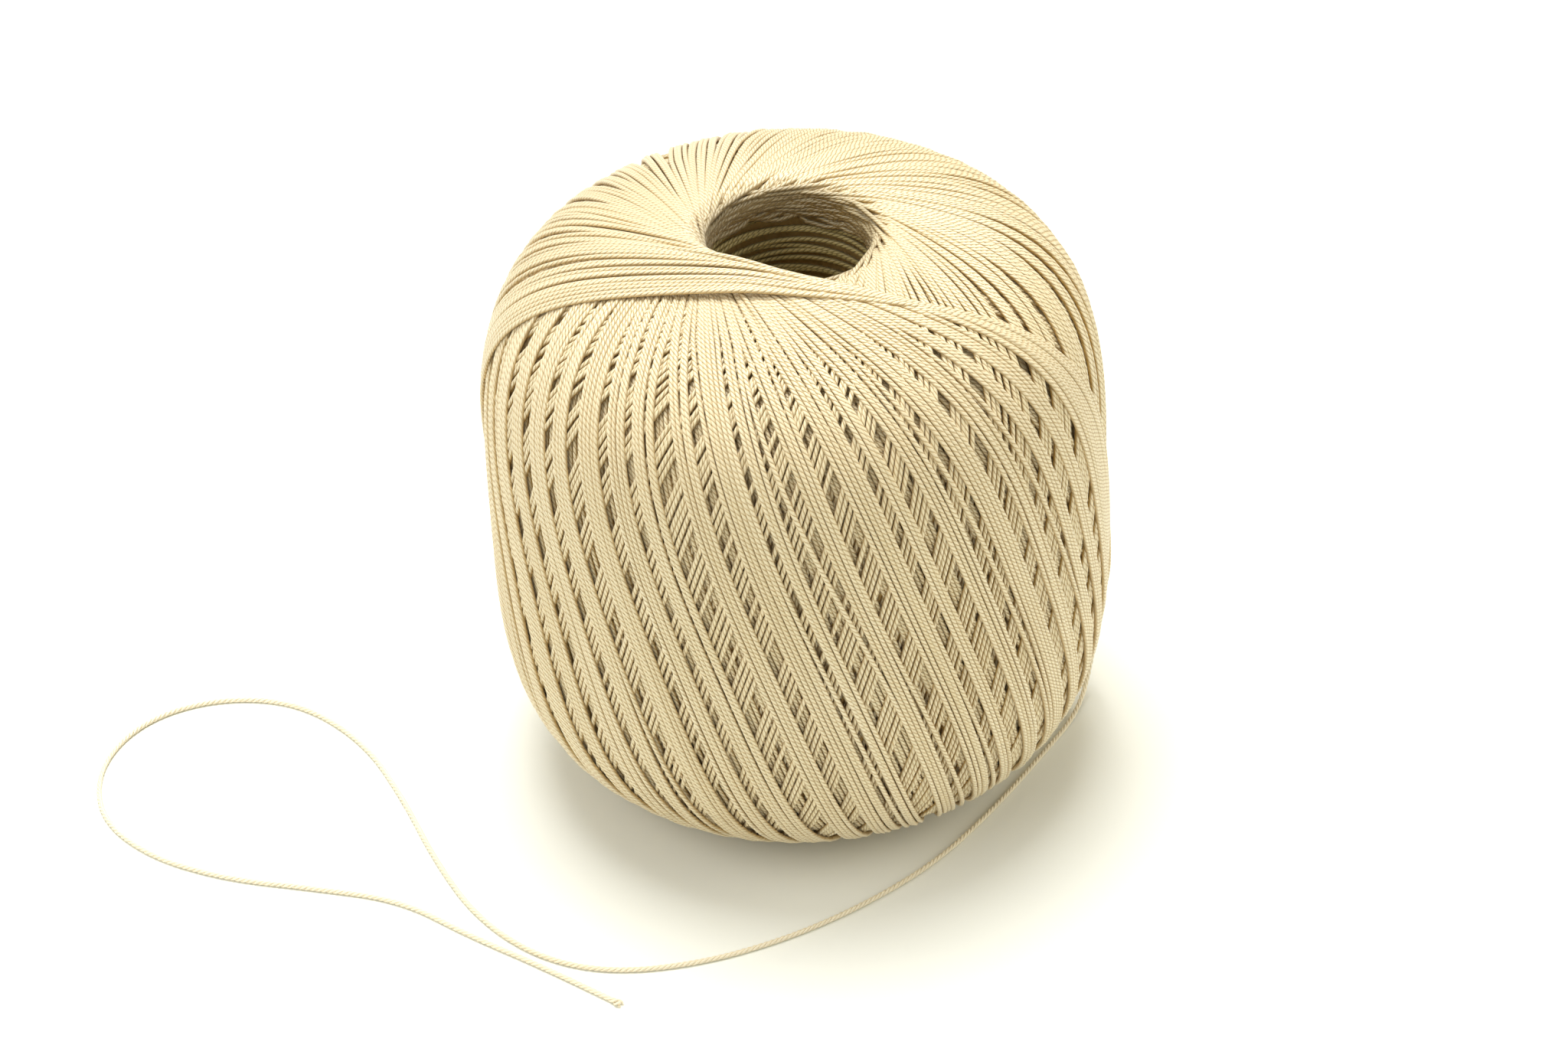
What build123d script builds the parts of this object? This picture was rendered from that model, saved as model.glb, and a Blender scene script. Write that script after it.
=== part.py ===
from build123d import *
import math
import os

# A machine-wound ball of crochet cotton with no core: one long thread in crossing wraps round an
# open centre hole, with its last wraps lying across the top as a band and its free end on the table.
# Millimetres, +Z up. The origin is the middle of the foot, on the axis of the hole.

# The ball
ball_radius = 36.0
ball_height = 70.0          # of the full barrel, which the hole leaves 0.1 shorter
barrel_power = 3.8          # 2 is an ellipse, and larger is a squarer barrel
foot_settle = 0.3           # how far the soft underside is pressed flat

# The centre hole, left by the winding spindle
hole_radius = 9.5
lining_wall = 1.2           # the turns that lie against the spindle
rim_round = 0.5

# The thread
thread_diameter = 0.6
rest_gap = 0.02

# The stages of winding, from the outside in, as how deep each is at the ball's side and at its ends
cover_depth = 1.8           # three layers of thread, even all over
outer_side_depth = 7.2
outer_end_depth = 4.7
middle_side_depth = 8.0
middle_end_depth = 6.5

# The closing wraps, one layer of thread on the cover
closing_width = 4.8
closing_tilt = 18.5         # degrees from upright
closing_turn = 262.0        # degrees round the axis, where the last wrap passes the hole

# The loose end, whose points lie on the table from the fourth on
table_height = thread_diameter / 2 + rest_gap
loose_end_points = [
    (36.1, 2.6, 16.0),
    (35.6, 5.4, 9.8),
    (34.6, 4.4, 3.6),
    (32.4, -1.6, table_height),
    (27.6, -9.2, table_height),
    (22.0, -17.8, table_height),
    (14.6, -27.4, table_height),
    (6.2, -34.4, table_height),
    (-3.0, -39.9, table_height),
    (-13.0, -43.6, table_height),
    (-23.4, -44.6, table_height),
    (-31.8, -41.4, table_height),
    (-38.9, -34.0, table_height),
    (-43.9, -23.6, table_height),
    (-48.0, -12.2, table_height),
    (-53.0, -1.4, table_height),
    (-61.2, 6.7, table_height),
    (-71.2, 8.2, table_height),
    (-79.9, 4.4, table_height),
    (-84.5, -3.8, table_height),
    (-83.7, -13.2, table_height),
    (-77.6, -20.6, table_height),
    (-68.2, -25.4, table_height),
    (-57.4, -27.9, table_height),
    (-47.5, -30.6, table_height),
    (-39.4, -37.3, table_height),
    (-30.6, -43.4, table_height),
    (-22.3, -49.9, table_height),
]
arc_share = 0.45            # of the shorter run beside a corner

# What follows from them
half_height = (ball_height + foot_settle) / 2
middle_z = ball_height - half_height
lining_radius = hole_radius + lining_wall
outer_radius = ball_radius - cover_depth
outer_half = half_height - cover_depth
middle_radius = outer_radius - outer_side_depth
middle_half = outer_half - outer_end_depth
inner_radius = middle_radius - middle_side_depth
inner_half = middle_half - middle_end_depth
curve_steps = 16
far = 4 * ball_radius


def barrel_z(reach, radius, half):
    """How far above its middle a barrel's surface is, this far from the axis."""
    return half * (1 - (reach / radius) ** barrel_power) ** (1 / barrel_power)


def barrel_points(radius, half, start_reach):
    """Points down a barrel's side, from start_reach at the top to the same reach at the bottom."""
    start = math.asin((barrel_z(start_reach, radius, half) / half) ** (barrel_power / 2))
    points = []
    for step in range(curve_steps + 1):
        angle = start * (1 - 2 * step / curve_steps)
        reach = radius * math.cos(angle) ** (2 / barrel_power)
        rise = half * abs(math.sin(angle)) ** (2 / barrel_power)
        points.append((reach, 0, middle_z + math.copysign(rise, angle)))
    return points


def barrel(radius, half):
    """A solid barrel with the lining's hole through it, before its foot is pressed flat."""
    points = barrel_points(radius, half, lining_radius)
    side = Spline(*points)
    bore = Line(points[-1], points[0])
    return revolve(make_face([side, bore]), Axis.Z)


def flat_foot(solid):
    """The part of a solid above the table."""
    return solid & Pos(0, 0, far / 2) * Box(far, far, far)


def make_hole_lining():
    """The turns round the spindle: a sleeve with soft rims, as tall as the ball is at the hole."""
    rim_z = middle_z + barrel_z(lining_radius, ball_radius, half_height)
    sleeve = Cylinder(lining_radius, rim_z, align=(Align.CENTER, Align.CENTER, Align.MIN))
    sleeve = sleeve - Pos(0, 0, rim_z / 2) * Cylinder(hole_radius, 2 * rim_z)
    rims = sleeve.edges().filter_by(GeomType.CIRCLE).group_by(SortBy.RADIUS)[0]
    return fillet(rims, rim_round)


def make_closing_wraps():
    """The last wraps, side by side: a strap round the ball, up one side, past the hole and down."""
    outside = barrel(ball_radius + thread_diameter, half_height + thread_diameter)
    layer = outside - barrel(ball_radius, half_height)
    across = Plane(
        origin=(0, 0, middle_z),
        x_dir=(-math.sin(math.radians(closing_turn)), math.cos(math.radians(closing_turn)), 0),
        z_dir=closing_normal(),
    )
    strap = flat_foot(layer & across * Box(far, far, closing_width))
    return strap


def closing_normal():
    """The direction square to the last wrap's plane, which leans out towards closing_turn."""
    tilt = math.radians(closing_tilt)
    turn = math.radians(closing_turn)
    return (math.cos(tilt) * math.cos(turn), math.cos(tilt) * math.sin(turn), -math.sin(tilt))


def corner_radii(points):
    """The largest arc that each corner of the loose end's route has room for."""
    radii = []
    for before, corner, after in zip(points, points[1:], points[2:]):
        arriving = Vector(*corner) - Vector(*before)
        leaving = Vector(*after) - Vector(*corner)
        half_turn = math.radians(arriving.get_angle(leaving)) / 2
        shorter = min(arriving.length, leaving.length)
        radii.append(arc_share * shorter / math.tan(half_turn))
    return radii


def make_loose_end():
    """The free thread, from where it leaves the ball to its cut end on the table."""
    radii = corner_radii(loose_end_points)
    route = FilletPolyline(*loose_end_points, radius=radii)
    section = Plane(origin=route @ 0, z_dir=route % 0) * Circle(thread_diameter / 2)
    tube = sweep(section, path=route)
    expected = math.pi * thread_diameter ** 2 / 4 * route.length
    print("loose end: radii", " ".join(f"{radius:.1f}" for radius in radii))
    print(f"loose end: length {route.length:.1f}, volume {tube.volume:.2f}, expected {expected:.2f}")
    return tube


outer_barrel = barrel(outer_radius, outer_half)
middle_barrel = barrel(middle_radius, middle_half)
inner_barrel = barrel(inner_radius, inner_half)

nodes = {
    "hole_lining": make_hole_lining(),
    "inner_winding": inner_barrel,
    "middle_winding": middle_barrel - inner_barrel,
    "outer_winding": outer_barrel - middle_barrel,
    "cover_winding": flat_foot(barrel(ball_radius, half_height) - outer_barrel),
    "closing_wraps": make_closing_wraps(),
    "loose_end": make_loose_end(),
}

os.makedirs("parts", exist_ok=True)
for name, solid in nodes.items():
    export_step(solid, f"parts/{name}.step")
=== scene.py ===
# %% [markdown]
# # A machine-wound ball of crochet thread
#
# The real thing is one single thread. A machine lays it round and round a short
# rod, each wrap passing close by the rod at the top and at the bottom, and each
# wrap turned a little further than the one before. When the rod is pulled out, an
# open hole is left. This lesson winds the same ball with Geometry Nodes: a rule
# says where the thread is after so many turns, and the node tree follows it.

# %% Load the frame and keep its box
import math
from types import SimpleNamespace

import bpy
import numpy as np
from mathutils import Matrix, Vector


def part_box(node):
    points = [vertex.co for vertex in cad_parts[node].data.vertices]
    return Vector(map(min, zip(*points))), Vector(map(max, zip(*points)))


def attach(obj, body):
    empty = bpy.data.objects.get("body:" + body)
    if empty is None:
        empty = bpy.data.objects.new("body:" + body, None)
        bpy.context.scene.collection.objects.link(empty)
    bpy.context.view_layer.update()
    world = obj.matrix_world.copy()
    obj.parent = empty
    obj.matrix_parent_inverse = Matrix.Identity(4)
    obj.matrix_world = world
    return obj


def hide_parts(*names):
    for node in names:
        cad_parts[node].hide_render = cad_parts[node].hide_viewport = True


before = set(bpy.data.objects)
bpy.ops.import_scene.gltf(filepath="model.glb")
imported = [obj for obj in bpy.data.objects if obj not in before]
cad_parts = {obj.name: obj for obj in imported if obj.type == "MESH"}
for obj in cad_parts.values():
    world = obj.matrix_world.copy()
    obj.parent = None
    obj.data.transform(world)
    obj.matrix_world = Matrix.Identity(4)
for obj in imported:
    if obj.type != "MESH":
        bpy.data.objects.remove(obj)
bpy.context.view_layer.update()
MM = 0.001

# %% [markdown]
# ## The camera
#
# The ball is seen from in front and well above, from a little over half a metre
# away, through a long lens. A camera can be aimed by turning it by hand or with a
# constraint. Here it is placed by where it stands, where it looks and how far it
# leans, and its three axes are written as a matrix, so each number has a meaning.

# %% Camera
CAMERA_TARGET = Vector((-1.78, 0.0, 29.16)) * MM
CAMERA_DISTANCE = 576.0 * MM
CAMERA_HEIGHT_ANGLE = math.radians(36.625)
CAMERA_LEAN = math.radians(-2.478)
LENS_MM = 113.84
SENSOR_WIDTH_MM = 36.0
NEAREST_SEEN = 0.01

forward = Vector((0.0, math.cos(CAMERA_HEIGHT_ANGLE), -math.sin(CAMERA_HEIGHT_ANGLE)))
level_right = Vector((1.0, 0.0, 0.0))
level_up = level_right.cross(forward)
right = math.cos(CAMERA_LEAN) * level_right + math.sin(CAMERA_LEAN) * level_up
up = math.cos(CAMERA_LEAN) * level_up - math.sin(CAMERA_LEAN) * level_right

camera_data = bpy.data.cameras.new("camera")
camera_data.lens = LENS_MM
camera_data.sensor_width = SENSOR_WIDTH_MM
camera_data.clip_start = NEAREST_SEEN
camera = bpy.data.objects.new("camera", camera_data)
bpy.context.collection.objects.link(camera)
axes = Matrix((right, up, -forward)).transposed().to_4x4()
camera.matrix_world = Matrix.Translation(CAMERA_TARGET - forward * CAMERA_DISTANCE) @ axes
bpy.context.scene.camera = camera
print("camera at", [round(v, 4) for v in camera.matrix_world.translation])

# %% [markdown]
# ## The line of the loose end
#
# The free end of the thread leaves the ball low on its right side, drops to the
# table, comes forward past the front, makes one open loop on the left and lies
# back beside itself. A limp thread has no straight runs, so its line is a NURBS
# curve, and the points below pull it into shape like small magnets.

# %% Route of the loose end
TABLE = 0.32
ROUTE = [
    (35.3, 2.2, 16.0), (35.2, 4.8, 9.8), (34.4, 4.4, 3.6), (32.4, -1.6, TABLE),
    (27.6, -9.2, TABLE), (22.0, -17.8, TABLE), (14.6, -27.4, TABLE),
    (6.2, -34.4, TABLE), (-3.0, -39.9, TABLE), (-13.0, -43.6, TABLE),
    (-23.4, -44.6, TABLE), (-31.8, -41.4, TABLE), (-38.9, -34.0, TABLE),
    (-43.9, -23.6, TABLE), (-48.0, -12.2, TABLE), (-53.0, -1.4, TABLE),
    (-61.2, 6.7, TABLE), (-71.2, 8.2, TABLE), (-79.9, 4.4, TABLE),
    (-84.5, -3.8, TABLE), (-83.7, -13.2, TABLE), (-77.6, -20.6, TABLE),
    (-68.2, -25.4, TABLE), (-57.4, -27.9, TABLE), (-47.5, -30.6, TABLE),
    (-39.4, -37.3, TABLE), (-30.6, -43.4, TABLE), (-22.3, -49.9, TABLE),
]


def curve_through(name, kind, places):
    """Curve data with one spline of this kind, and these points on it."""
    data = bpy.data.curves.new(name, "CURVE")
    data.dimensions = "3D"
    spline = data.splines.new(kind)
    spline.points.add(len(places) - 1)
    for point, place in zip(spline.points, places):
        point.co = (*place, 1.0)
    return data


def smooth_line(name, places):
    """A NURBS curve object through the pull of these points."""
    data = curve_through(name, "NURBS", places)
    data.resolution_u = 12
    data.splines[0].order_u = 3
    data.splines[0].use_endpoint_u = True
    line = bpy.data.objects.new(name, data)
    bpy.context.collection.objects.link(line)
    return line


def points_along(line):
    """The places that Blender gives a curve with no thickness, in order."""
    graph = bpy.context.evaluated_depsgraph_get()
    mesh = bpy.data.meshes.new_from_object(line.evaluated_get(graph))
    places = [tuple(v.co) for v in mesh.vertices]
    bpy.data.meshes.remove(mesh)
    return places


loose_line = smooth_line("loose_line", [tuple(c * MM for c in place) for place in ROUTE])
loose_path = points_along(loose_line)
steps = np.diff(np.array(loose_path), axis=0)
loose_length = float(np.linalg.norm(steps, axis=1).sum())
print(f"loose end: {loose_length / MM:.1f} mm in {len(loose_path)} points")

# %% [markdown]
# ## Small tools for building node trees
#
# Nodes can be laid out by hand in the editor, but a rule of forty sums is easier
# to read as text. `Num` wraps one socket, and `a + b * 2.0` on it adds the Math
# nodes. It serves the geometry trees, which make the shapes, and the shader
# trees, which make the finishes.

# %% Numbers that are sockets


def plug(tree, socket, value):
    """Links a socket to another one, or sets its value."""
    value = value.socket if isinstance(value, Num) else value
    if isinstance(value, bpy.types.NodeSocket):
        tree.links.new(value, socket)
    else:
        socket.default_value = value


def put(tree, kind, values=None, **settings):
    """Adds a node, gives it its settings, and plugs each value into the socket it names."""
    node = tree.nodes.new(kind)
    for name, setting in settings.items():
        setattr(node, name, setting)
    for key, value in (values or {}).items():
        plug(tree, node.inputs[key], value)
    return node


class Num:
    """One number in a node tree, for sums typed in the usual way."""

    def __init__(self, tree, socket):
        self.tree, self.socket = tree, socket

    def do(self, operation, *others):
        node = put(self.tree, "ShaderNodeMath", operation=operation)
        for socket, value in zip(node.inputs, (self, *others)):
            plug(self.tree, socket, value)
        return Num(self.tree, node.outputs[0])

    def ease(self, low, high):
        """0 below low, 1 above high, and a smooth change between."""
        node = put(self.tree, "ShaderNodeMapRange", interpolation_type="SMOOTHSTEP")
        for socket, value in zip(node.inputs, (self, low, high, 0.0, 1.0)):
            plug(self.tree, socket, value)
        return Num(self.tree, node.outputs[0])

    def noise(self, seed, detail=0.0):
        """A smooth random value from -1 to 1 that changes along this number."""
        places = {"W": self + seed, "Scale": 1.0, "Detail": detail}
        node = put(self.tree, "ShaderNodeTexNoise", places, noise_dimensions="1D")
        return (Num(self.tree, node.outputs[0]) - 0.5) * 2.0

    def one_minus(self):
        """What is left of 1 after this number."""
        return -self + 1.0

    def __add__(self, other):
        return self.do("ADD", other)

    def __sub__(self, other):
        return self.do("SUBTRACT", other)

    def __mul__(self, other):
        return self.do("MULTIPLY", other)

    def __truediv__(self, other):
        return self.do("DIVIDE", other)

    def __pow__(self, other):
        return self.do("POWER", other)

    def __neg__(self):
        return self * -1.0


print("helpers for sums: plug, put and Num")

# %% [markdown]
# ## Vectors, attributes and colours
#
# Shape trees pass notes to the finishes as named attributes: how far along the
# thread a point is, how far round it, which turn it belongs to. These helpers
# write and read such notes, and take vectors apart and join them.

# %% Short names for common nodes


def join(tree, x, y, z=0.0):
    """A vector from three numbers."""
    return put(tree, "ShaderNodeCombineXYZ", {0: x, 1: y, 2: z}).outputs[0]


def split(tree, vector):
    """The three numbers of a vector."""
    node = put(tree, "ShaderNodeSeparateXYZ", {0: vector})
    return [Num(tree, output) for output in node.outputs]


def vectors(tree, operation, values):
    """A sum of vectors."""
    return put(tree, "ShaderNodeVectorMath", values, operation=operation).outputs[0]


def store(tree, geometry, name, value, **settings):
    """Writes a named value on the points or corners of a geometry."""
    told = {"Geometry": geometry, "Name": name, "Value": value}
    return put(tree, "GeometryNodeStoreNamedAttribute", told, **settings).outputs[0]


def recall(tree, name):
    """Reads a named number back in a shape tree."""
    node = put(tree, "GeometryNodeInputNamedAttribute", {"Name": name}, data_type="FLOAT")
    return Num(tree, node.outputs[0])


def painted(tree, name):
    """Reads a named number in a finish."""
    return Num(tree, put(tree, "ShaderNodeAttribute", attribute_name=name).outputs["Fac"])


def mixed(tree, amount, first, second, **settings):
    """Two colours mixed. The Mix node's sockets for colours are its 6th and 7th."""
    values = {0: amount, 6: first, 7: second}
    return put(tree, "ShaderNodeMix", values, data_type="RGBA", **settings).outputs[2]


KINDS = {
    "int": "NodeSocketInt",
    "float": "NodeSocketFloat",
    "material": "NodeSocketMaterial",
    "geometry": "NodeSocketGeometry",
}
print("kinds of input:", *KINDS)

# %% [markdown]
# ## From a tree to a mesh
#
# A Geometry Nodes tree runs as a modifier on some object. Here each tree gets a
# helper object, is run once with its own sizes, and its result is kept as a plain
# mesh, so the finished piece carries no modifier.

# %% Make a tree, and run it


def shape_tree(name, **inputs):
    """A new geometry tree, its inputs by name, and its output node."""
    tree = bpy.data.node_groups.new(name, "GeometryNodeTree")
    for label, value in inputs.items():
        kind = value if isinstance(value, str) else type(value).__name__
        label = label.replace("_", " ")
        socket = tree.interface.new_socket(label, in_out="INPUT", socket_type=KINDS[kind])
        if not isinstance(value, str):
            socket.default_value = value
    tree.interface.new_socket("Geometry", in_out="OUTPUT", socket_type=KINDS["geometry"])
    source = tree.nodes.new("NodeGroupInput")
    given = {}
    for label, value in inputs.items():
        socket = source.outputs[label.replace("_", " ")]
        given[label] = Num(tree, socket) if not isinstance(value, str) else socket
    return tree, SimpleNamespace(**given), tree.nodes.new("NodeGroupOutput")


def grow(name, tree, start=None, **values):
    """Runs a tree and keeps its result as a plain mesh object."""
    data = start if start is not None else bpy.data.meshes.new(name + "_start")
    maker = bpy.data.objects.new(name + "_maker", data)
    bpy.context.collection.objects.link(maker)
    modifier = maker.modifiers.new("tree", "NODES")
    modifier.node_group = tree
    for item in tree.interface.items_tree:
        label = item.name.replace(" ", "_")
        if item.in_out == "INPUT" and label in values:
            modifier[item.identifier] = values[label]
    graph = bpy.context.evaluated_depsgraph_get()
    mesh = bpy.data.meshes.new_from_object(
        maker.evaluated_get(graph), preserve_all_data_layers=True, depsgraph=graph
    )
    maker.modifiers.clear()
    bpy.data.objects.remove(maker)
    mesh.name = name
    piece = bpy.data.objects.new(name, mesh)
    bpy.context.collection.objects.link(piece)
    faces = sum(len(p.vertices) - 2 for p in mesh.polygons)
    print(f"{name}: {faces} triangles")
    return piece


# %% [markdown]
# ## The finish of the thread
#
# Crochet cotton is three cords twisted together, then singed and mercerised,
# which leaves it smooth with a satin gleam. Close up one sees small slanting
# ovals: the cords coming over the front of the thread, one every 0.7 mm. Real
# cords on every wrap would be far too many faces, so the twist is a pattern. The
# thread's own map says how far along it and how far round it a point is, so one
# sum of the two gives the slant. Height and colour both come from it: the colour
# is darkened in the grooves between cords as painted shade, and so are a strand's
# flanks, where it touches its neighbours.

# %% Twisted cotton as a shader group
THREAD = 0.6 * MM
PLIES = 3
LEAD = 2.08 * MM            # the length in which a cord goes once round the thread
CORD_ROUNDNESS = 0.92       # 1 would drop straight down into the grooves
HAIR_SCALE, HAIR_HEIGHT = 9.0, 0.10
GROOVE_FROM = 0.45          # how far from a cord's middle its groove begins
FLANK_FROM, FLANK_TO = -0.1, 0.85
TONE_SEED, TONE_SHARE = 11.0, 0.6
BLOTCH_SCALE, BLOTCH_SHARE = 55.0, 0.5


def twist_group():
    tree = bpy.data.node_groups.new("twisted cotton", "ShaderNodeTree")
    for label, default in (("Plies", 3.0), ("Patchiness", 0.5)):
        socket = tree.interface.new_socket(label, in_out="INPUT", socket_type=KINDS["float"])
        socket.default_value = default
    for label in ("Height", "Groove", "Flank_shade", "Mouth_shade", "Patch"):
        tree.interface.new_socket(label, in_out="OUTPUT", socket_type=KINDS["float"])
    source, sink = tree.nodes.new("NodeGroupInput"), tree.nodes.new("NodeGroupOutput")

    place = put(tree, "ShaderNodeUVMap", uv_map="thread").outputs[0]
    along, around, _ = split(tree, place)
    across = ((along + around) * Num(tree, source.outputs["Plies"])).do("FRACT") * 2.0 - 1.0
    rounded = (across * across * -CORD_ROUNDNESS + 1.0).do("SQRT")
    hair = {"Vector": place, "Scale": HAIR_SCALE, "Detail": 2.0}
    hairs = Num(tree, put(tree, "ShaderNodeTexNoise", hair).outputs[0])
    plug(tree, sink.inputs["Height"], rounded + (hairs - 0.5) * HAIR_HEIGHT)
    plug(tree, sink.inputs["Groove"], across.do("ABSOLUTE").ease(GROOVE_FROM, 1.0))

    # Painted shade on the flanks: the less a face looks outward, the more of the shade colour
    # it takes, as where strands touch their neighbours.
    flank_shade = painted(tree, "facing").ease(FLANK_FROM, FLANK_TO).one_minus()
    plug(tree, sink.inputs["Flank_shade"], flank_shade)
    # Painted shade at the mouth of the hole, read from the "shade" note.
    plug(tree, sink.inputs["Mouth_shade"], painted(tree, "shade"))

    tone = painted(tree, "turn").noise(TONE_SEED, 1.0)
    inside = put(tree, "ShaderNodeTexCoord").outputs["Object"]
    blotch = put(tree, "ShaderNodeTexNoise", {"Vector": inside, "Scale": BLOTCH_SCALE})
    blotches = (Num(tree, blotch.outputs[0]) - 0.5) * 2.0
    patch = tone * TONE_SHARE + blotches * BLOTCH_SHARE
    plug(tree, sink.inputs["Patch"], patch * Num(tree, source.outputs["Patchiness"]) + 0.5)
    return tree


twisted_cotton = twist_group()
print("twisted cotton:", len(twisted_cotton.nodes), "nodes")

# %% [markdown]
# ## Four finishes of the same cotton
#
# Every wrap is the same ecru cotton, but deeper wraps look darker and a touch
# greener, since light reaches them only between their neighbours, so they get a
# darker copy of it, painted shade. The wall of the hole gets a darker copy still,
# painted shade, and the loose end, alone on the table, gets the palest copy,
# painted light. One recipe with a few values gives all four. At the mouth of the
# hole the strands carry a "shade" note, which the recipe uses to dim their colour
# as painted shade.

# %% Materials of the thread
TWIST_HEIGHT = 0.13 * MM
PATCHINESS = 0.8
# Painted shade: the colour that strands in the mouth of the hole are multiplied by.
MOUTH_PAINTED_SHADE = (0.40, 0.37, 0.29, 1.0)
SATIN = {
    "Roughness": 0.42, "Specular IOR Level": 0.9, "Sheen Weight": 0.2, "Sheen Roughness": 0.4,
}


def cotton(name, light, dark, crease_shade, flanks, grooves=0.75, relief=0.9):
    """A material: two tones, a colour of painted shade for grooves and flanks, and how strong
    the shade on flanks and grooves and the bumps are.
    """
    material = bpy.data.materials.new(name)
    material.use_nodes = True
    tree = material.node_tree
    tree.nodes.clear()
    own = {"Plies": float(PLIES), "Patchiness": PATCHINESS}
    twist = put(tree, "ShaderNodeGroup", own, node_tree=twisted_cotton).outputs
    tone = mixed(tree, twist["Patch"], (*dark, 1.0), (*light, 1.0))
    # Painted shade: the grooves between cords and the flanks where strands touch are darkened
    # towards the shade colour.
    hidden = Num(tree, twist["Groove"]) * grooves
    edge = hidden.do("MAXIMUM", Num(tree, twist["Flank_shade"]) * flanks)
    crease_shaded = mixed(tree, edge, tone, (*crease_shade, 1.0))
    dimmed = mixed(tree, twist["Mouth_shade"], crease_shaded, MOUTH_PAINTED_SHADE, blend_type="MULTIPLY")
    raised = {"Height": twist["Height"], "Distance": TWIST_HEIGHT, "Strength": relief}
    bumps = put(tree, "ShaderNodeBump", raised).outputs[0]
    look = {"Base Color": dimmed, "Normal": bumps, **SATIN}
    shader = put(tree, "ShaderNodeBsdfPrincipled", look)
    out = put(tree, "ShaderNodeOutputMaterial", {"Surface": shader.outputs[0]})
    out.is_active_output = True
    print("finish:", name)
    return material


ecru = cotton(
    "ecru cotton",
    light=(0.85, 0.75, 0.52), dark=(0.73, 0.61, 0.37), crease_shade=(0.54, 0.34, 0.09), flanks=0.75,
)
# Painted shade: the copy for the deeper wraps, with darker grooves and more shade on the
# flanks.
shaded = cotton(
    "shaded cotton",
    light=(0.85, 0.75, 0.51), dark=(0.75, 0.63, 0.38), crease_shade=(0.46, 0.28, 0.06), flanks=1.0,
)
# Painted shade: a much darker copy of the cotton for the wall of the hole, where little light
# reaches.
shaded_hole = cotton(
    "hollow cotton",
    light=(0.66, 0.53, 0.22), dark=(0.48, 0.37, 0.12), crease_shade=(0.20, 0.14, 0.03), flanks=0.9,
)
# Painted light: the loose end is the same cotton, given a paler tone for the light that it gets
# alone on the table. Its cords are real, so little shade is painted in its grooves.
lit_single = cotton(
    "single cord",
    light=(0.93, 0.84, 0.64), dark=(0.87, 0.77, 0.55), crease_shade=(0.72, 0.58, 0.30),
    flanks=0.0, grooves=0.15, relief=0.2,
)

# %% [markdown]
# ## A rule for where the thread lies
#
# Count turns backwards from the last one. Inside one turn the thread goes down
# one side, under the ball and up the other side, always in a plane that leans
# about eighteen degrees, so that it clears the hole. From turn to turn that plane
# swings round by a degree or so, with a wider step now and then: these steps leave
# the narrow windows between the groups of strands. Half a swing later the strands
# lean the other way and lie one layer higher, which makes the lattice. The sizes
# are read from the boxes of the solids that the thread stands for.

# %% Sizes of the winding
ball_low, ball_high = (Vector(corner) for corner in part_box("cover_winding"))
lining_low, lining_high = (Vector(corner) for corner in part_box("hole_lining"))
BARREL_POWER = 3.8          # 2 is an ellipse, and larger is a squarer barrel
BALL_RADIUS = (ball_high.x - ball_low.x) / 2
FOOT_SETTLE = 0.3 * MM
MIDDLE = (ball_high.z - FOOT_SETTLE) / 2
HALF_HEIGHT = MIDDLE + FOOT_SETTLE
LINING_WALL = 1.2 * MM
HOLE_RADIUS = (lining_high.x - lining_low.x) / 2 - LINING_WALL
print(f"ball radius {BALL_RADIUS / MM:.2f}, half height {HALF_HEIGHT / MM:.2f} mm")
print(f"hole radius {HOLE_RADIUS / MM:.2f} mm")

# %% [markdown]
# ## Steady randomness
#
# A machine is regular, but thread is not. Each small irregularity is a noise that
# changes along the thread, with its own speed per turn and its own fixed seed, so
# the ball comes out the same every time.

# %% One table for everything random
RANDOM = {
    "jump spacing": (0.11, 3.0),
    "jump size": (0.618, 8.0),
    "wander": (1.9, 7.0),
    "pole tilt": (0.73, 19.0),
    "pile": (5.3, 23.0),
    "dip": (0.83, 29.0),
    "hole wave": (2.1, 5.0),
    "hole bulge": (3.1, 31.0),
}


def vary(turn, what):
    """A steady random value from -1 to 1 for this turn."""
    speed, seed = RANDOM[what]
    return (turn * speed).noise(seed)


print("random values:", *RANDOM, sep=", ")

# %% [markdown]
# ## How far each wrap has swung and how far it leans
#
# The swing is counted twice: once with even steps, and once with the wider jumps
# that gather strands into groups. Near the hole the wraps lie side by side, with
# no room for windows, and there the even count is used. Close to the poles the
# plane leans a little less, which brings the wraps in to the mouth of the hole.

# %% Swing and lean
JUMP_SPREAD = 2.2           # in turns, how far a wide step may come early or late
JUMP_UNEVEN = 0.45          # of a wide step
JUMP_FROM = 0.93            # of the way from one wide step to the next
CLOSING_STEP = 0.9          # degrees between the last wraps
CLOSING_FADE = 1.44         # times their number, until they lean as the rest
TUCKED_TURN, TUCKED_TURNS, TUCKED_LEAN = 14.0, 20.0, 1.1
WIDER_FROM, WIDER_TO, WIDER_LEAN = 110.0, 150.0, 0.8
LEAN_SPREAD = 0.6


def jumps(turns, every):
    """Counts the wider steps before this turn; each is taken at the end of its group."""
    spread = vary(turns, "jump spacing") * JUMP_SPREAD
    stretched = (turns + spread + JUMP_SPREAD) / every
    number, part = stretched.do("FLOOR"), stretched.do("FRACT")
    uneven = vary(number, "jump size") * JUMP_UNEVEN
    uneven_next = vary(number + 1.0, "jump size") * JUMP_UNEVEN
    rise = part.ease(JUMP_FROM, 1.0)
    return (number + uneven + rise * (uneven_next - uneven + 1.0)) * turns.ease(0.0, 0.5)


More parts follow.
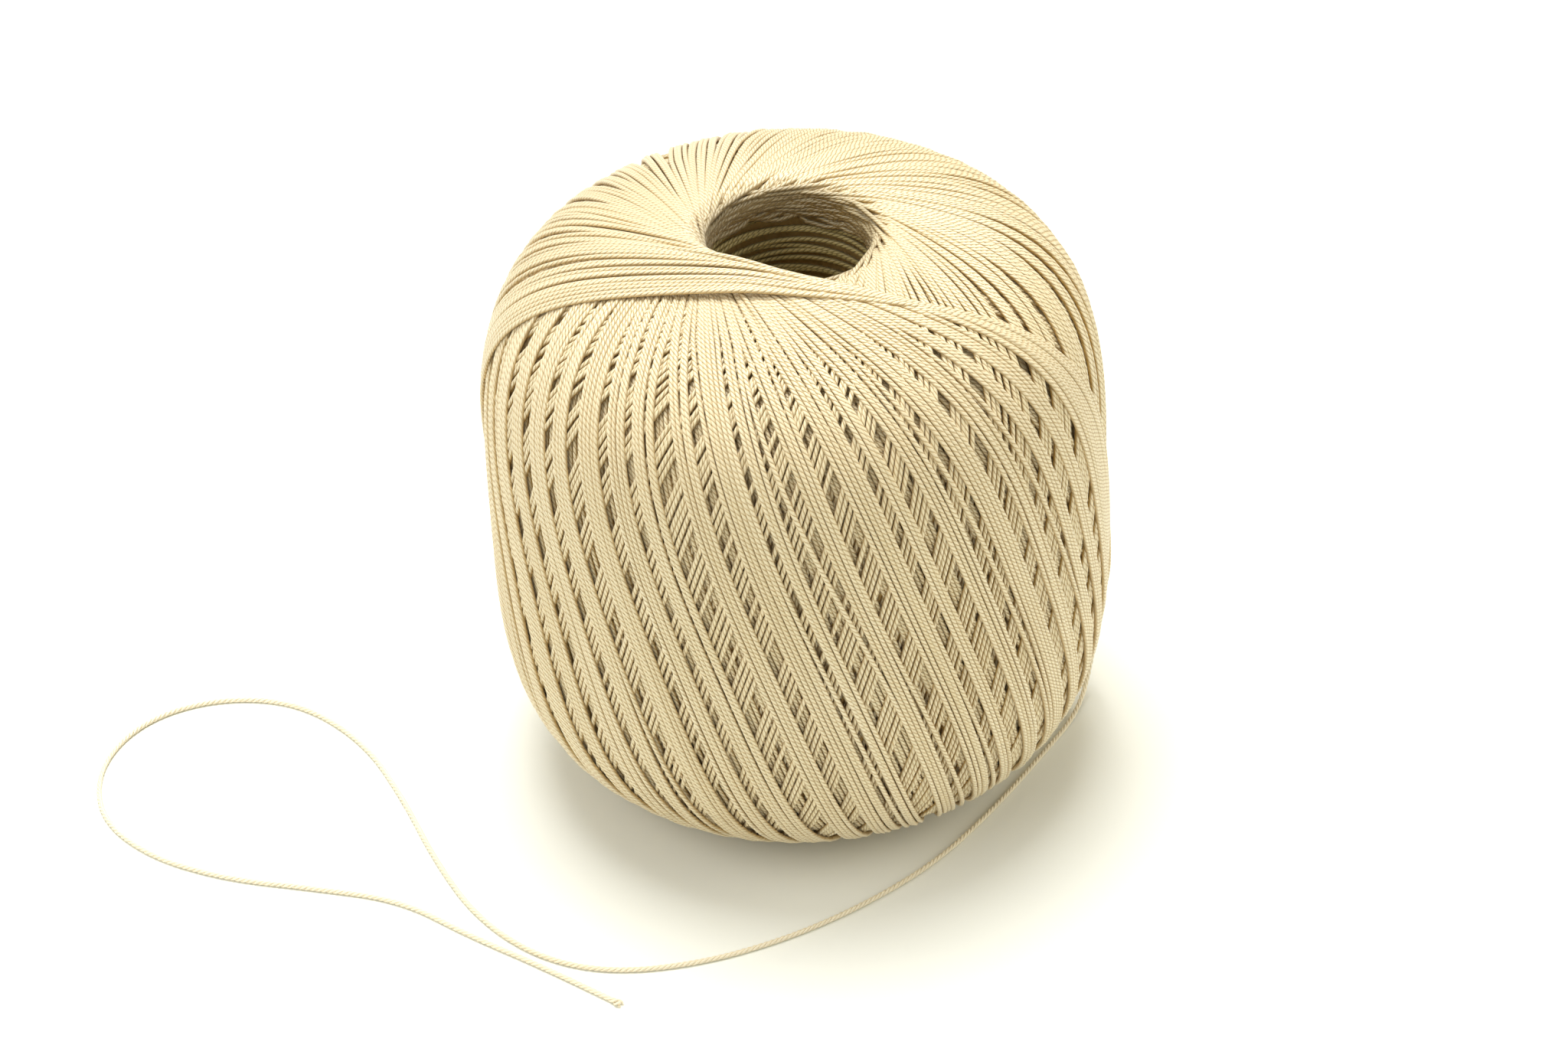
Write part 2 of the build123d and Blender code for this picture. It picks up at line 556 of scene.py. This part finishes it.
def swings(g, back):
    """Degrees swung by this turn: with even steps, and with the jumps."""
    older = (back - g.Start_turn).do("MAXIMUM", 0.0)
    recent = back.do("MINIMUM", g.Closing_turns) * CLOSING_STEP
    fixed = recent + g.Start_swing + older * g.Strand_step
    steady = fixed + older / g.Group * g.Gap_step
    jumping = fixed + jumps(older, g.Group) * g.Gap_step
    return steady, jumping


def tucked_in(back):
    """1 for the wraps just under the closing ones, which lie tucked against the hole."""
    return ((back - TUCKED_TURN) / TUCKED_TURNS).do("ABSOLUTE").ease(0.0, 1.0).one_minus()


def lean(g, turn, back, near_pole, tucked):
    """How far the plane of the wrap leans from upright, in radians."""
    closing = (back / (g.Closing_turns * CLOSING_FADE)).one_minus().do("MAXIMUM", 0.0)
    wider = back.ease(WIDER_FROM, WIDER_TO) * WIDER_LEAN + vary(turn, "pole tilt") * LEAN_SPREAD
    pole_tilt = g.Pole_tilt + closing * g.Closing_rise + wider - tucked * TUCKED_LEAN
    return (g.Equator_tilt + (pole_tilt - g.Equator_tilt) * near_pole).do("RADIANS")


print(f"closing wraps: one every {CLOSING_STEP} degrees")

# %% [markdown]
# ## How high each strand lies
#
# A strand that crosses others rests on them, so it lies a layer higher after each
# half swing of the plane. It drops back where it passes the pole. On top of that
# come a little looseness, a small heap of the newest wraps at the top, and the
# last stretch, where the thread lifts off the ball to become the loose end.

# %% Height above the barrel
POLE_TURN = 6.0             # degrees each side of the pole in which a strand changes layer
PILE_SIDE = 0.18            # the looseness at the side of the ball, of that at the poles
LEAVES_FROM, END_TURN = 0.27, 0.335
HEAP_FROM, HEAP_TO, HEAP_SHARPNESS = 18.0, 60.0, 10.0


def height_above(g, turn, back, steady, near_pole):
    """How far outside the plain barrel the strand lies, and how far it is past the pole."""
    half_turns = turn * 2.0
    nearest = (half_turns - half_turns.do("ROUND")) * 180.0
    fall = nearest.ease(-POLE_TURN, POLE_TURN) * 180.0
    layer = (nearest - fall - steady + 90.0) / 180.0 * g.Layer
    loose = vary(turn, "pile") * (near_pole ** 2.0 + PILE_SIDE) * g.Pile
    lift = turn.ease(LEAVES_FROM, END_TURN) * g.Lift
    newest = back.ease(HEAP_FROM, HEAP_TO).one_minus()
    heap = near_pole ** HEAP_SHARPNESS * newest * g.Heap
    return layer + loose + lift + heap, fall


print(f"the thread leaves the ball after {END_TURN} of a turn past the last pole")

# %% [markdown]
# ## Tubes with a map of their own
#
# A tube can be had from a curve's bevel, but that gives no say over its map. So a
# circle is swept along the line in the tree, and both know their place: the line
# says how far along, the circle how far round. Together they are the map named
# "thread". A second note, "facing", tells a strand's crown from its flanks.

# %% Sweep a tube along a line
SEAM_JUMP = 0.3             # a corner this far below its face's middle is past the seam


def tube_round(tree, line, profile, along, material, outward=None):
    """Sweeps a profile along a line, with the thread's own map on the faces."""
    marked = store(tree, line, "along", along)
    sweep = {"Curve": marked, "Profile Curve": profile, "Fill Caps": True}
    swept = put(tree, "GeometryNodeCurveToMesh", sweep).outputs[0]
    length, round_it = recall(tree, "along"), recall(tree, "around")
    face = put(
        tree, "GeometryNodeFieldOnDomain", {0: round_it}, domain="FACE", data_type="FLOAT"
    )
    seam = (Num(tree, face.outputs[0]) - round_it).do("GREATER_THAN", SEAM_JUMP)
    pair = join(tree, length, round_it + seam)
    geometry = store(tree, swept, "thread", pair, data_type="FLOAT2", domain="CORNER")
    for name in ("along", "around"):
        used = {"Geometry": geometry, "Name": name}
        geometry = put(tree, "GeometryNodeRemoveAttribute", used).outputs[0]
    # The finishes use "facing" to paint shade on a strand's flanks, where it touches its
    # neighbours.
    facing = 1.0
    if outward is not None:
        both = {0: put(tree, "GeometryNodeInputNormal").outputs[0], 1: outward}
        dot = put(tree, "ShaderNodeVectorMath", both, operation="DOT_PRODUCT")
        facing = dot.outputs["Value"]
    geometry = store(tree, geometry, "facing", facing)
    for kind in ("GeometryNodeSetShadeSmooth", "GeometryNodeRealizeInstances"):
        geometry = put(tree, kind, {"Geometry": geometry}).outputs[0]
    finished = {"Geometry": geometry, "Material": material}
    return put(tree, "GeometryNodeSetMaterial", finished).outputs[0]


def round_profile(tree, sides, radius):
    """A circle whose points know how far round they are."""
    size = {"Resolution": sides, "Radius": radius}
    circle = put(tree, "GeometryNodeCurvePrimitiveCircle", size).outputs[0]
    index = Num(tree, put(tree, "GeometryNodeInputIndex").outputs[0])
    return store(tree, circle, "around", index / sides)


def dotted_line(tree, count):
    """A line of so many points, and the number of each."""
    dots = put(tree, "GeometryNodeMeshLine", {"Count": count.do("ROUND")}).outputs[0]
    line = put(tree, "GeometryNodeMeshToCurve", {"Mesh": dots}).outputs[0]
    return line, Num(tree, put(tree, "GeometryNodeInputIndex").outputs[0])


def length_so_far(tree):
    """The length of the line up to each of its points."""
    return Num(tree, put(tree, "GeometryNodeSplineParameter").outputs["Length"])


def barrel_outward(tree, g):
    """The direction straight out of the barrel at a point near its surface."""
    x, y, z = split(tree, put(tree, "GeometryNodeInputPosition").outputs[0])
    z = (z - g.Middle) / g.Half_height
    flat = (x * x + y * y).do("SQRT") / g.Radius
    push = (flat + 0.001) ** (g.Power - 2.0) / g.Radius / g.Radius
    lift = z.do("ABSOLUTE") ** (g.Power - 1.0) * z.do("SIGN") / g.Half_height
    return vectors(tree, "NORMALIZE", {0: join(tree, x * push, y * push, lift)})


print("one cord goes round the thread every", round(LEAD / MM, 2), "mm")

# %% [markdown]
# ## The tree that winds the thread
#
# The tree starts from a row of points, one for each small step of the winding,
# and moves every point to its place by the rule. Nobody could draw five hundred
# turns by hand, and a simulation of them would be slow and hard to steer. Near the
# hole a strand is held out from the axis about as far as the rod held it, and the
# space it needs beside its neighbours decides how far the groups may open.

# %% Build the winding tree
EDGE_LEAN, EDGE_IN, EDGE_TUCKED = 0.9, 0.6, 1.2     # in threads, past the rod's surface
SIDE_BY_SIDE = 0.9          # how squarely strands cross the edge of the hole
MOUTH_FROM, MOUTH_TO = 0.94, 1.22                   # of the hole's radius
SETTLED_FROM, SETTLED_TO = 10.0, 45.0               # in turns
DIP_BIAS, DIP_LEAST = 0.7, 0.05
TUBE_SHARE = 0.48           # of the thread, for the tube's radius


def winding_tree():
    tree, g, out = shape_tree(
        "wound thread", Turns=10.0, First_turn=-10.0, Rings_per_turn=96, Sides=8,
        Radius=0.0357, Half_height=0.03485, Middle=0.03485, Power=BARREL_POWER,
        Hole_radius=0.0095, Thread=0.0006, Lead=0.00208, Layer=0.0004,
        Last_azimuth=262.0, Strand_step=0.93, Gap_step=3.4, Group=4.5, Packing=0.93,
        Wander=0.27, Pole_tilt=15.1, Equator_tilt=18.5, Closing_turns=8.0,
        Closing_rise=5.8, Start_turn=8.0, Start_swing=0.0, Pile=0.0003, Dip=0.003,
        Heap=0.001, Lift=0.0, Material="material",
    )
    line, index = dotted_line(tree, g.Turns * g.Rings_per_turn + 1.0)
    turn = g.First_turn + index / g.Rings_per_turn
    back = (-turn).do("MAXIMUM", 0.0)
    steady, swing = swings(g, back)
    angle = (turn * 360.0).do("RADIANS")
    cosine, sine = angle.do("COSINE"), angle.do("SINE")
    near_pole = cosine * cosine
    tucked = tucked_in(back)
    tilt = lean(g, turn, back, near_pole, tucked)
    height, fall = height_above(g, turn, back, steady, near_pole)

    # The direction from the middle of the ball, and how far out the barrel is that way
    side, ahead = tilt.do("SINE") * cosine, sine
    z = tilt.do("COSINE") * cosine
    flat = (side * side + ahead * ahead).do("SQRT")
    reach = (flat / (g.Radius + height)) ** g.Power
    rise = (z.do("ABSOLUTE") / (g.Half_height + height)) ** g.Power
    size = (reach + rise) ** (-(g.Power ** -1.0))
    wide = flat * size
    lean_in = g.Thread * (fall / 180.0 * EDGE_LEAN - EDGE_IN - tucked * EDGE_TUCKED)
    clear = wide.do("MAXIMUM", g.Hole_radius + lean_in)
    pushed = size * (clear / wide)

    # How far the strands can gather into groups, from the room beside each
    edge = g.Hole_radius * g.Hole_radius * SIDE_BY_SIDE
    spread = (clear * clear - edge).do("MAXIMUM", 1e-6).do("SQRT")
    touching = (g.Thread * g.Packing / spread).do("DEGREES")
    spare = (touching - g.Strand_step) / (g.Gap_step / g.Group)
    gathered = spare.do("MAXIMUM", 0.0).do("MINIMUM", 1.0).one_minus()
    wander = vary(turn, "wander") * g.Wander
    azimuth = g.Last_azimuth + wander - steady - (swing - steady) * gathered
    swung = azimuth.do("RADIANS")
    cos_s, sin_s = swung.do("COSINE"), swung.do("SINE")
    x, y = cos_s * side - sin_s * ahead, sin_s * side + cos_s * ahead

    # Older strands have settled into the mouth of the hole, where they are in shade; the
    # "shade" note stored on them dims their colour there, painted shade.
    mouth = (clear / g.Hole_radius).ease(MOUTH_FROM, MOUTH_TO).one_minus()
    settled = mouth * back.ease(SETTLED_FROM, SETTLED_TO)
    dip = settled * (vary(turn, "dip") + DIP_BIAS).do("MAXIMUM", DIP_LEAST) * g.Dip
    tall = (z * size - dip * z.do("SIGN") + g.Middle).do("MAXIMUM", g.Thread * 0.5)

    placed = {"Geometry": line, "Position": join(tree, x * pushed, y * pushed, tall)}
    moved = put(tree, "GeometryNodeSetPosition", placed).outputs[0]
    marked = store(tree, store(tree, moved, "turn", turn), "shade", settled * mouth)
    profile = round_profile(tree, g.Sides, g.Thread * TUBE_SHARE)
    along = length_so_far(tree) / g.Lead
    done = tube_round(tree, marked, profile, along, g.Material, barrel_outward(tree, g))
    plug(tree, out.inputs[0], done)
    return tree


wound_thread = winding_tree()
print("winding tree:", len(wound_thread.nodes), "nodes")

# %% [markdown]
# ## Winding the ball from the outside in
#
# Only the last few hundred turns can be seen, so only those are wound. They are
# made in bands of about a hundred turns each, with rounder tubes at the top where
# the eye rests and plainer ones further down. The closing band is the last eight
# turns, which lie across the top past the hole.

# %% Wind the wraps
COMMON = dict(
    Radius=BALL_RADIUS - THREAD / 2, Half_height=HALF_HEIGHT - THREAD / 2, Middle=MIDDLE,
    Power=BARREL_POWER, Hole_radius=HOLE_RADIUS, Thread=THREAD, Lead=LEAD,
)
CLOSING, OUTER, CROSSED, UNDER, DEEP = 8.0, 112.0, 223.0, 390.0, 557.0
CROSSING = dict(Strand_step=1.15, Gap_step=2.41)
INNER = dict(Start_turn=CROSSED, Start_swing=363.0, Gap_step=0.9)
BANDS = {
    "closing_band": dict(
        First_turn=-CLOSING, Turns=CLOSING + END_TURN, Rings_per_turn=192, Sides=12,
        Wander=0.5, Lift=0.6 * MM,
    ),
    "outer_wraps": dict(
        First_turn=-OUTER, Turns=OUTER - CLOSING, Rings_per_turn=112, Sides=8,
    ),
    "crossing_wraps": dict(
        First_turn=-CROSSED, Turns=CROSSED - OUTER, Rings_per_turn=108, Sides=8, **CROSSING,
    ),
    "under_wraps": dict(
        First_turn=-UNDER, Turns=UNDER - CROSSED, Rings_per_turn=90, Sides=6, **INNER,
    ),
    "deep_wraps": dict(
        First_turn=-DEEP, Turns=DEEP - UNDER, Rings_per_turn=90, Sides=6, **INNER,
    ),
}
FINISH_OF = {"closing_band": ecru, "outer_wraps": ecru}
for name, values in BANDS.items():
    grow(name, wound_thread, Material=FINISH_OF.get(name, shaded), **COMMON, **values)

# %% [markdown]
# ## The wall of the hole
#
# Seen down the hole, every turn shows only the short stretch where it touched the
# winding rod, nearly level. Stacked up, they look like a wavy coil, so the wall is
# wound as one: a helix whose turns rise and fall and press on each other a little.

# %% Wind the wall of the hole
WAVE_SPEED, WAVE_EVEN, WAVE_RANDOM = 1.37, 0.6, 0.8
RECESS_DEPTH, RECESS_FADE = 0.0045, 0.0025          # below the top of the wall, in metres
WALL_INSET = 0.4            # of the thread


def hole_tree():
    tree, g, out = shape_tree(
        "hole coils", Turns=76, Rings_per_turn=56, Sides=8, Radius=0.0095, Top=0.0672,
        Bottom=0.003, Thread=0.0006, Lead=0.00208, Wave=0.0007, Undercut=0.0011,
        Material="material",
    )
    line, index = dotted_line(tree, g.Turns * g.Rings_per_turn + 1.0)
    turn = index / g.Rings_per_turn
    angle = (turn * 360.0).do("RADIANS")
    even = (angle * WAVE_SPEED).do("SINE") * WAVE_EVEN
    wave = even + vary(turn, "hole wave") * WAVE_RANDOM
    tall = g.Top + (g.Bottom - g.Top) * (turn / g.Turns) + wave * g.Wave
    out_by = (vary(turn, "hole bulge") * 0.5 + 0.5) * g.Thread
    recess = (tall - g.Top + RECESS_DEPTH).ease(0.0, RECESS_FADE) * g.Undercut
    wide = g.Radius + g.Thread * WALL_INSET + out_by + recess
    place = join(tree, angle.do("COSINE") * wide, angle.do("SINE") * wide, tall)
    moved = put(tree, "GeometryNodeSetPosition", {"Geometry": line, "Position": place})
    marked = store(tree, moved.outputs[0], "turn", turn)
    along = length_so_far(tree) / g.Lead
    profile = round_profile(tree, g.Sides, g.Thread * 0.5)
    position = put(tree, "GeometryNodeInputPosition").outputs[0]
    inward = vectors(tree, "MULTIPLY", {0: position, 1: (-1.0, -1.0, 0.0)})
    unit = vectors(tree, "NORMALIZE", {0: inward})
    plug(tree, out.inputs[0], tube_round(tree, marked, profile, along, g.Material, unit))
    return tree


# The wall of the hole takes the darkest copy of the cotton, painted shade.
grow("hole_coils", hole_tree(), Radius=HOLE_RADIUS, Material=shaded_hole)

# %% [markdown]
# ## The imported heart
#
# Behind the last few hundred turns lie many more, which can't be told apart. One
# solid barrel with a hole stands for them. It is turned like a bowl from an
# outline, and it keeps light from shining through the lattice.

# %% Outline and solid of the heart
SINK = 1.8 * MM
SIDE_ROWS, HOLE_ROWS, COLUMNS = 90, 12, 256
RIDGE, RIDGE_PITCH = 0.15 * MM, 1.3


def heart_outline():
    """Radii and heights down the outside and back up the hole."""
    outside = []
    radius, half = BALL_RADIUS - SINK, HALF_HEIGHT - SINK
    inner = HOLE_RADIUS + 2 * LINING_WALL
    start = math.atan2(inner, half)
    for down in np.linspace(start, math.pi - start, SIDE_ROWS):
        reach, rise = math.sin(down) / radius, abs(math.cos(down)) / half
        size = (reach ** BARREL_POWER + rise ** BARREL_POWER) ** (-1 / BARREL_POWER)
        outside.append((size * math.sin(down), MIDDLE + size * math.cos(down)))
    low, high = outside[-1][1], outside[0][1]
    hole = [(inner, low + (high - low) * k / HOLE_ROWS) for k in range(1, HOLE_ROWS)]
    return outside + hole


def turned(name, outline, around, material):
    """Turns an outline round the axis, with a shallow ridge that follows the strands."""
    verts, faces, rows = [], [], len(outline)
    for column in range(around):
        angle = 2 * math.pi * column / around
        for row, (wide, tall) in enumerate(outline):
            reach = wide + RIDGE * math.sin(column * 0.5 * math.pi + row * RIDGE_PITCH)
            verts.append((reach * math.cos(angle), reach * math.sin(angle), tall))
    for column in range(around):
        here, following = column * rows, (column + 1) % around * rows
        for row in range(rows):
            below = (row + 1) % rows
            faces.append((here + row, here + below, following + below, following + row))
    mesh = bpy.data.meshes.new(name)
    mesh.from_pydata(verts, [], faces)
    mesh.materials.append(material)
    for polygon in mesh.polygons:
        polygon.use_smooth = True
    piece = bpy.data.objects.new(name, mesh)
    bpy.context.collection.objects.link(piece)
    print(f"{name}: {len(faces) * 2} triangles")
    return piece


# %% [markdown]
# ## The finish of the heart
#
# Only slivers of the heart show, at the bottom of the windows, so it needs no
# twist. A fine speckle of two deep tones with a little relief reads as packed
# thread in the dark. The heart stands for real windings; its tones are the
# cotton made darker and warmer, painted shade.

# %% Finish and turn the heart
SPECKLE_SCALE, SPECKLE_HEIGHT = 900.0, 0.2 * MM
# Painted shade: the same cotton, darker and warmer, for thread deep in the windows.
HEART_DARK, HEART_LIGHT = (0.62, 0.40, 0.12, 1.0), (0.82, 0.58, 0.24, 1.0)
HEART_ROUGHNESS = 0.8


def heart_finish():
    material = bpy.data.materials.new("packed cotton")
    material.use_nodes = True
    tree = material.node_tree
    shader = tree.nodes["Principled BSDF"]
    place = put(tree, "ShaderNodeTexCoord").outputs["Object"]
    grain = {"Vector": place, "Scale": SPECKLE_SCALE, "Detail": 3.0}
    speckle = put(tree, "ShaderNodeTexNoise", grain).outputs[0]
    tone = mixed(tree, speckle, HEART_DARK, HEART_LIGHT)
    raised = {"Height": speckle, "Distance": SPECKLE_HEIGHT}
    plug(tree, shader.inputs["Base Color"], tone)
    plug(tree, shader.inputs["Normal"], put(tree, "ShaderNodeBump", raised).outputs[0])
    shader.inputs["Roughness"].default_value = HEART_ROUGHNESS
    return material


turned("packed_heart", heart_outline(), COLUMNS, heart_finish())

# %% [markdown]
# ## The loose end, cord by cord
#
# Here the thread is seen alone against the table, so its three cords are real:
# each one circles the middle line once every 2 mm. The tree rides along the line
# of the loose end, steps sideways by the cord's distance from the middle, and
# turns as it goes. At the cut tip the cords thin out and flare a little, as cut
# thread does.

# %% Twist the loose end
CORD_OUT, CORD_RADIUS = 0.27, 0.26      # of the thread
FRAY_FROM = 0.994                       # of the way along
FRAY_FLARE, FRAY_THIN = 1.3, 0.4


def plied_tree():
    tree, g, out = shape_tree(
        "plied thread", Line="geometry", Step=0.00025, Thread=0.0006, Lead=0.00208, Sides=6,
        Material="material",
    )
    smooth = put(tree, "GeometryNodeSetCurveNormal", {"Curve": g.Line}, mode="Z_UP")
    even = {"Curve": smooth.outputs[0], "Length": g.Step}
    line = put(tree, "GeometryNodeResampleCurve", even, mode="LENGTH").outputs[0]
    copies = {"Geometry": line, "Amount": PLIES}
    cords = put(tree, "GeometryNodeDuplicateElements", copies, domain="SPLINE")
    numbered = store(tree, cords.outputs[0], "cord", cords.outputs["Duplicate Index"])

    length = length_so_far(tree)
    angle = (recall(tree, "cord") / float(PLIES) - length / g.Lead) * (2 * math.pi)
    normal = put(tree, "GeometryNodeInputNormal").outputs[0]
    ahead = put(tree, "GeometryNodeInputTangent").outputs[0]
    aside = vectors(tree, "CROSS_PRODUCT", {0: ahead, 1: normal})
    part = Num(tree, put(tree, "GeometryNodeSplineParameter").outputs["Factor"])
    fray = part.ease(FRAY_FROM, 1.0)
    reach = g.Thread * CORD_OUT * (fray * FRAY_FLARE + 1.0)
    first = vectors(tree, "SCALE", {0: normal, "Scale": angle.do("COSINE") * reach})
    second = vectors(tree, "SCALE", {0: aside, "Scale": angle.do("SINE") * reach})
    offset = vectors(tree, "ADD", {0: first, 1: second})
    moved = put(tree, "GeometryNodeSetPosition", {"Geometry": numbered, "Offset": offset})

    # No cord sinks into the table
    x, y, z = split(tree, put(tree, "GeometryNodeInputPosition").outputs[0])
    resting = join(tree, x, y, z.do("MAXIMUM", g.Thread * CORD_RADIUS))
    raised = {"Geometry": moved.outputs[0], "Position": resting}
    laid = put(tree, "GeometryNodeSetPosition", raised).outputs[0]
    thin = {"Curve": laid, "Radius": (fray * FRAY_THIN).one_minus()}
    thinned = put(tree, "GeometryNodeSetCurveRadius", thin).outputs[0]
    profile = round_profile(tree, g.Sides, g.Thread * CORD_RADIUS)
    done = tube_round(tree, thinned, profile, length / g.Lead, g.Material)
    plug(tree, out.inputs[0], done)
    return tree


loose_start = curve_through("loose_path", "POLY", loose_path)
loose_end = grow("loose_end_thread", plied_tree(), start=loose_start, Material=lit_single)
bpy.data.objects.remove(loose_line)

# %% [markdown]
# ## The table and the light
#
# A plain white table runs out of view on all sides. One large soft light stands
# high above and a little behind, a wide one fills from the left, a small warm one
# fills from the right, and a bright sky makes the shadows pale. Large lights are
# what give thread its soft gleam: a small one would leave hard white specks.

# %% Table
FLOOR_HALF = 3.0
PAPER_COLOUR, PAPER_ROUGHNESS = (0.9, 0.91, 0.85, 1.0), 0.9

corners = [(x * FLOOR_HALF, y * FLOOR_HALF, 0) for x, y in ((-1, -1), (1, -1), (1, 1), (-1, 1))]
floor_mesh = bpy.data.meshes.new("floor")
floor_mesh.from_pydata(corners, [], [(0, 1, 2, 3)])
floor = bpy.data.objects.new("floor", floor_mesh)
bpy.context.collection.objects.link(floor)
paper = bpy.data.materials.new("white paper")
paper.use_nodes = True
paper_shader = paper.node_tree.nodes["Principled BSDF"]
paper_shader.inputs["Base Color"].default_value = PAPER_COLOUR
paper_shader.inputs["Roughness"].default_value = PAPER_ROUGHNESS
floor_mesh.materials.append(paper)
print("floor:", 2 * FLOOR_HALF, "m wide")

# %% [markdown]
# ## Lamps and sky
#
# A lamp's power is in watts and its colour in shares of red, green and blue. Each
# is aimed at the point that the camera looks at. The plain view setting keeps the
# pale cotton and the white table from being pulled towards grey.

# %% Lamps and sky
SKY_COLOUR, SKY_STRENGTH = (1.0, 0.985, 0.90, 1.0), 0.52


def soft_light(name, place, size, power, colour=(1.0, 1.0, 1.0)):
    data = bpy.data.lights.new(name, "AREA")
    data.shape = "DISK"
    data.size, data.energy, data.color = size, power, colour
    light = bpy.data.objects.new(name, data)
    bpy.context.collection.objects.link(light)
    light.location = place
    towards = CAMERA_TARGET - Vector(place)
    light.rotation_euler = towards.to_track_quat("-Z", "Y").to_euler()
    print(f"{name}: {power} W, {size} m wide")


soft_light("key", (-0.06, 0.25, 0.95), size=0.65, power=10.7)
soft_light("left fill", (-0.75, -0.35, 0.6), size=0.9, power=3.5)
soft_light("right fill", (0.75, -0.1, 0.4), size=0.5, power=1.6, colour=(1.0, 0.95, 0.82))
sky = bpy.data.worlds.new("sky")
bpy.context.scene.world = sky
sky.use_nodes = True
sky.node_tree.nodes["Background"].inputs["Color"].default_value = SKY_COLOUR
sky.node_tree.nodes["Background"].inputs["Strength"].default_value = SKY_STRENGTH
bpy.context.scene.view_settings.view_transform = "Standard"

# %% [markdown]
# ## Handing the pieces over
#
# Every piece rides on the one body. The table below names the finish it takes
# and the solids it stands for, and those solids are hidden.

# %% Hand the pieces over
stands_for = {
    "closing_band": ("ecru_thread", ["closing_wraps"]),
    "outer_wraps": ("ecru_thread", ["cover_winding"]),
    "crossing_wraps": ("ecru_thread", ["cover_winding"]),
    "under_wraps": ("shaded_thread", ["outer_winding"]),
    "deep_wraps": ("shaded_thread", ["outer_winding"]),
    "hole_coils": ("shaded_thread", ["hole_lining"]),
    "packed_heart": ("shaded_thread", ["inner_winding", "middle_winding"]),
    "loose_end_thread": ("ecru_thread", ["loose_end"]),
}
for name, (slot, nodes) in stands_for.items():
    piece = bpy.data.objects[name]
    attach(piece, "root")
    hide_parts(*nodes)
print("pieces handed over:", len(stands_for))
